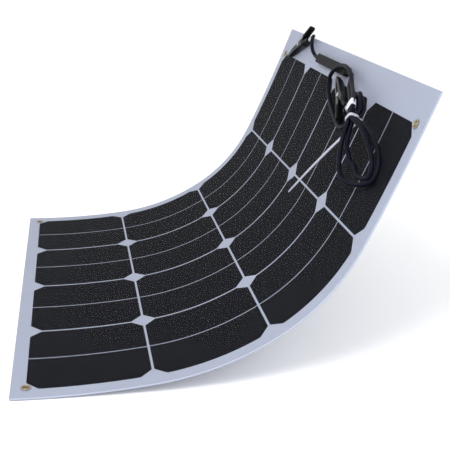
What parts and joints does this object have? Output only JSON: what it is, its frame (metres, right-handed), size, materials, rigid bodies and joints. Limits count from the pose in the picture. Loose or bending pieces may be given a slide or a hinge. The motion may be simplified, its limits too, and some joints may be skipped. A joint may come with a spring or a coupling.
{
  "type": "flexible solar sheet",
  "caption": "Flexible solar sheet that curls up at one end, with cut-corner black cells on a white laminate, corner grommets, a slim junction box, a bundled lead and spring clips.",
  "frame": {"origin": "centre of the near grommet at the free end, on the sheet's back face", "axes": "+X along the sheet towards the box end, +Y across the sheet, +Z off the front face at the free end; the sheet curls up towards +Z at the box end"},
  "size_m": [0.4036, 0.5401, 0.3202],
  "materials": {
    "white_laminate": "satin bluish white",
    "black_cell": "smooth, near black",
    "clear_film": "clear, fine matte texture",
    "copper_ribbon": "rolled",
    "brass_eyelet": "polished",
    "black_foam": "matte",
    "black_plastic": "fine texture",
    "terminal_brass": "machined",
    "lead_jacket": "satin",
    "white_plastic": "satin",
    "black_boot": "satin",
    "tinned_crimp": "satin",
    "clip_jaw_black": "black, rubbed at the edges",
    "clip_steel": "satin"
  },
  "bodies": {
    "column_1": {"backsheet_1": "white_laminate", "rear_encapsulant_1": "white_laminate", "half_cells_1": "black_cell", "front_encapsulant_1": "clear_film", "front_film_1": "clear_film", "flex_gap_1": "white_laminate", "gap_tabs_1": "copper_ribbon", "bus_ribbons_free_end": "copper_ribbon", "grommets_free_end": "brass_eyelet", "grommet_washers_free_end": "brass_eyelet"},
    "column_2": {"backsheet_2": "white_laminate", "rear_encapsulant_2": "white_laminate", "half_cells_2": "black_cell", "front_encapsulant_2": "clear_film", "front_film_2": "clear_film", "flex_gap_2": "white_laminate", "gap_tabs_2": "copper_ribbon"},
    "column_3": {"backsheet_3": "white_laminate", "rear_encapsulant_3": "white_laminate", "half_cells_3": "black_cell", "front_encapsulant_3": "clear_film", "front_film_3": "clear_film", "flex_gap_3": "white_laminate", "gap_tabs_3": "copper_ribbon"},
    "column_4": {"backsheet_4": "white_laminate", "rear_encapsulant_4": "white_laminate", "half_cells_4": "black_cell", "front_encapsulant_4": "clear_film", "front_film_4": "clear_film", "bus_ribbons_box_end": "copper_ribbon", "grommets_box_end": "brass_eyelet", "grommet_washers_box_end": "brass_eyelet", "box_pad": "black_foam", "box_base": "black_plastic", "box_seal": "black_foam", "box_lid": "black_plastic", "box_terminals": "terminal_brass", "bypass_diode": "black_plastic", "gland_near": "black_plastic", "gland_far": "black_plastic", "lead_short": "lead_jacket", "lead_out": "lead_jacket", "lead_hank": "lead_jacket", "lead_return": "lead_jacket", "zip_tie": "white_plastic", "label_sleeve": "white_plastic", "clip_1_jaw_fixed": "clip_jaw_black", "clip_1_pin": "clip_steel", "clip_1_spring": "clip_steel", "clip_1_boot_fixed": "black_boot", "clip_1_crimp": "tinned_crimp", "clip_2_jaw_fixed": "clip_jaw_black", "clip_2_pin": "clip_steel", "clip_2_spring": "clip_steel", "clip_2_boot_fixed": "black_boot", "clip_2_crimp": "tinned_crimp"},
    "clip_1_lever": {"clip_1_jaw_moving": "clip_jaw_black", "clip_1_boot_moving": "black_boot"},
    "clip_2_lever": {"clip_2_jaw_moving": "clip_jaw_black", "clip_2_boot_moving": "black_boot"}
  },
  "joints": [
    {"name": "flex_1", "type": "hinge", "parent": "column_1", "child": "column_2", "pos_m": [0.12583, 0.25125, 0.01013], "axis": [0, -1, 0], "range_deg": [-17, 8], "stiffness_Nm_per_rad": 120, "deforming": ["flex_gap_1", "gap_tabs_1"]},
    {"name": "flex_2", "type": "hinge", "parent": "column_2", "child": "column_3", "pos_m": [0.24428, 0.25125, 0.05442], "axis": [0, -1, 0], "range_deg": [-29, 8], "stiffness_Nm_per_rad": 90, "deforming": ["flex_gap_2", "gap_tabs_2"]},
    {"name": "flex_3", "type": "hinge", "parent": "column_3", "child": "column_4", "pos_m": [0.3259, 0.25125, 0.14998], "axis": [0, -1, 0], "range_deg": [-18, 8], "stiffness_Nm_per_rad": 60, "deforming": ["flex_gap_3", "gap_tabs_3"]},
    {"name": "clip_1_jaw", "type": "hinge", "parent": "column_4", "child": "clip_1_lever", "pos_m": [0.37413, 0.43, 0.28923], "axis": [0.9397, 0, -0.342], "range_deg": [0, 17], "stiffness_Nm_per_rad": 0.3, "springref_deg": -17.19},
    {"name": "clip_2_jaw", "type": "hinge", "parent": "column_4", "child": "clip_2_lever", "pos_m": [0.36277, 0.2, 0.25804], "axis": [-0.9397, 0, 0.342], "range_deg": [0, 17], "stiffness_Nm_per_rad": 0.3, "springref_deg": -17.19}
  ]
}
